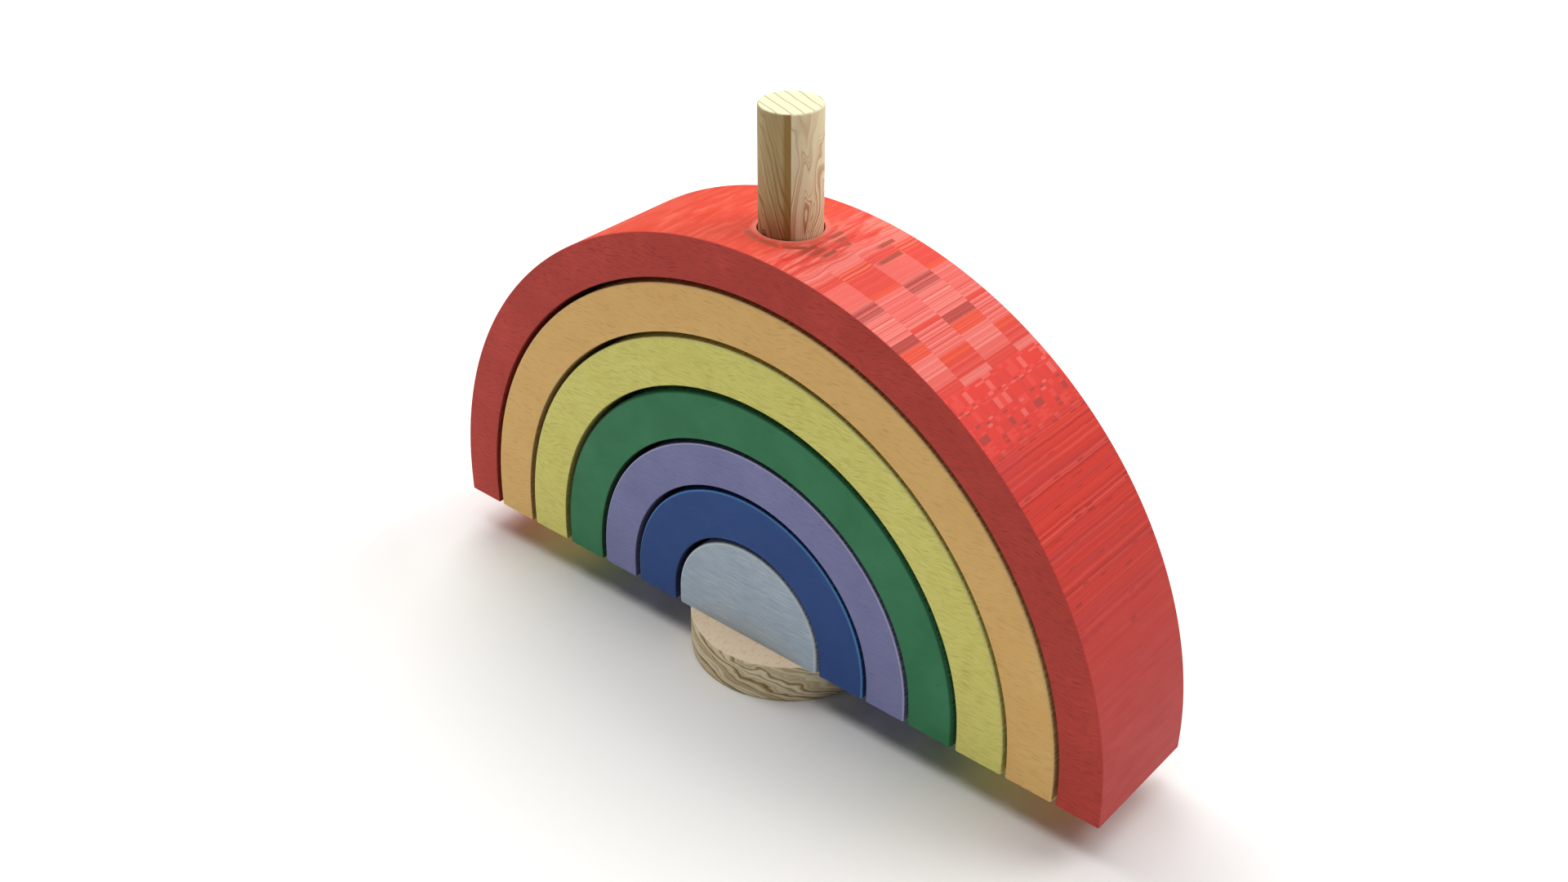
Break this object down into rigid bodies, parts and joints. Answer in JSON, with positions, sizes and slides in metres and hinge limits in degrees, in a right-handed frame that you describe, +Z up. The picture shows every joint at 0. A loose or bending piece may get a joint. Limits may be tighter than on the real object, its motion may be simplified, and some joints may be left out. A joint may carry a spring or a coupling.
{
  "type": "rainbow stacking tower",
  "caption": "Wooden stacking tower: nested coloured half-round arches and a solid half-round core, threaded through their crowns on a dowel in a small round base.",
  "frame": {"origin": "middle of the underside of the round base, on the dowel's axis", "axes": "+X along the span of the arches, +Y from the front faces to the back faces, +Z up along the dowel"},
  "size_m": [0.25, 0.062, 0.178],
  "materials": {
    "plain_wood": "sanded, clear oiled",
    "dowel_wood": "sanded, clear oiled",
    "pale_blue_wood": "water stained, satin",
    "blue_wood": "water stained, satin",
    "purple_wood": "water stained, satin",
    "green_wood": "water stained, satin",
    "yellow_wood": "water stained, satin",
    "orange_wood": "water stained, satin",
    "red_wood": "water stained, satin",
    "felt": "pressed felt"
  },
  "bodies": {
    "base": {"base_disc": "plain_wood", "dowel": "dowel_wood"},
    "core": {"core": "pale_blue_wood"},
    "blue": {"blue_arch": "blue_wood", "blue_felt": "felt"},
    "purple": {"purple_arch": "purple_wood", "purple_felt": "felt"},
    "green": {"green_arch": "green_wood", "green_felt": "felt"},
    "yellow": {"yellow_arch": "yellow_wood", "yellow_felt": "felt"},
    "orange": {"orange_arch": "orange_wood", "orange_felt": "felt"},
    "red": {"red_arch": "red_wood", "red_felt": "felt"}
  },
  "joints": [
    {"name": "core_lift", "type": "slide", "parent": "base", "child": "core", "axis": [0, 0, 1], "range_m": [0, 0.17]},
    {"name": "blue_lift", "type": "slide", "parent": "core", "child": "blue", "axis": [0, 0, 1], "range_m": [0, 0.138]},
    {"name": "purple_lift", "type": "slide", "parent": "blue", "child": "purple", "axis": [0, 0, 1], "range_m": [0, 0.121]},
    {"name": "green_lift", "type": "slide", "parent": "purple", "child": "green", "axis": [0, 0, 1], "range_m": [0, 0.106]},
    {"name": "yellow_lift", "type": "slide", "parent": "green", "child": "yellow", "axis": [0, 0, 1], "range_m": [0, 0.089]},
    {"name": "orange_lift", "type": "slide", "parent": "yellow", "child": "orange", "axis": [0, 0, 1], "range_m": [0, 0.072]},
    {"name": "red_lift", "type": "slide", "parent": "orange", "child": "red", "axis": [0, 0, 1], "range_m": [0, 0.056]}
  ]
}
